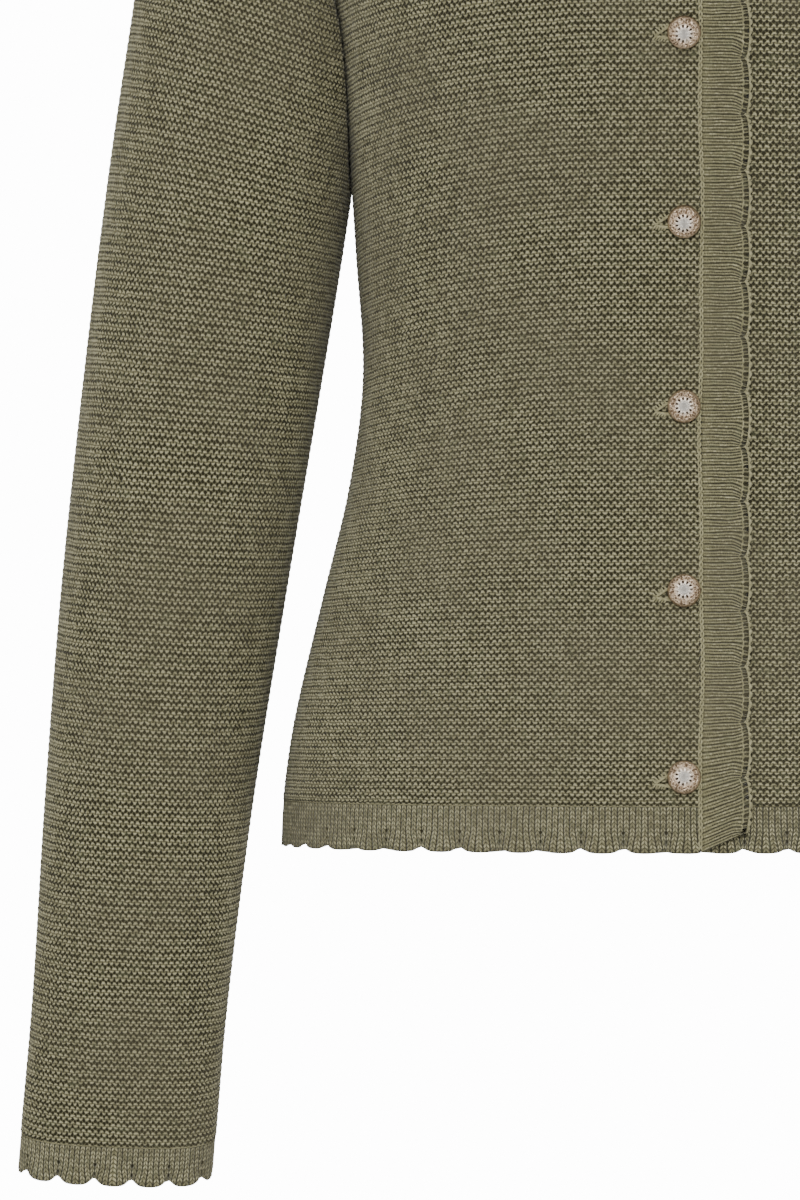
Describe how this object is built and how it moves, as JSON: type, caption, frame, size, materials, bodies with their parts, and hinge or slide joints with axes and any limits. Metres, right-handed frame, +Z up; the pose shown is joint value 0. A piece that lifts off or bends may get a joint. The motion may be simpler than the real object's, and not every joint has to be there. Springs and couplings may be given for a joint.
{
  "type": "trachten cardigan",
  "caption": "Women's knitted cardigan in worn, hollow form with scalloped borders, a buttoned front and a ribbed trim round the edges.",
  "frame": {"origin": "middle of the neck opening, level with the high points of the shoulders", "axes": "+Z up, -Y to the front, +X to the wearer's left"},
  "size_m": [0.5178, 0.2487, 0.703],
  "materials": {
    "garter_knit": "matte wool",
    "border_knit": "matte wool",
    "button_metal": "antique silver with a warm tint"
  },
  "bodies": {
    "root": {"front_right": "garter_knit", "front_left": "garter_knit", "back": "garter_knit", "sleeve_right": "garter_knit", "sleeve_left": "garter_knit", "hem_border_right": "border_knit", "hem_border_left": "border_knit", "hem_border_back": "border_knit", "cuff_border_right": "border_knit", "cuff_border_left": "border_knit", "front_trim_right": "border_knit", "front_trim_left": "border_knit", "neck_trim": "border_knit", "button_1": "button_metal", "button_2": "button_metal", "button_3": "button_metal", "button_4": "button_metal", "button_5": "button_metal", "button_6": "button_metal", "button_7": "button_metal"}
  },
  "joints": []
}
